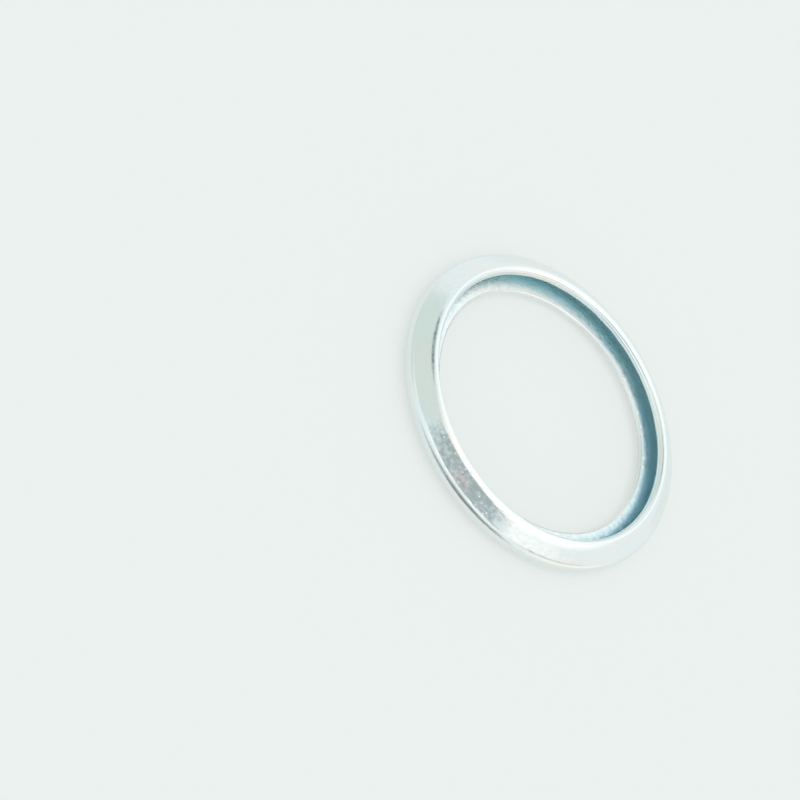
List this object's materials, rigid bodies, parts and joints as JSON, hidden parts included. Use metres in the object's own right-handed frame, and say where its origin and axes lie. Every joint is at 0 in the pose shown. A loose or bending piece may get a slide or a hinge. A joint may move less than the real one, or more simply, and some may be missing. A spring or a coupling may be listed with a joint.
{
  "type": "crush washer",
  "caption": "Ring of folded zinc-plated steel sheet with a hollow, open section: a conical face with a rounded crest that yields to seal a threaded plug.",
  "frame": {"origin": "on the washer's axis, in the plane of its flat seat", "axes": "+Z along the axis, from the seat towards the crest; X and Y lie in the plane of the seat, and any direction there is alike"},
  "size_m": [0.024, 0.024, 0.002],
  "materials": {
    "zinc_plated_steel": "bright blue-white zinc plating on cold-rolled sheet"
  },
  "bodies": {
    "root": {"crush_washer": "zinc_plated_steel"}
  },
  "joints": []
}
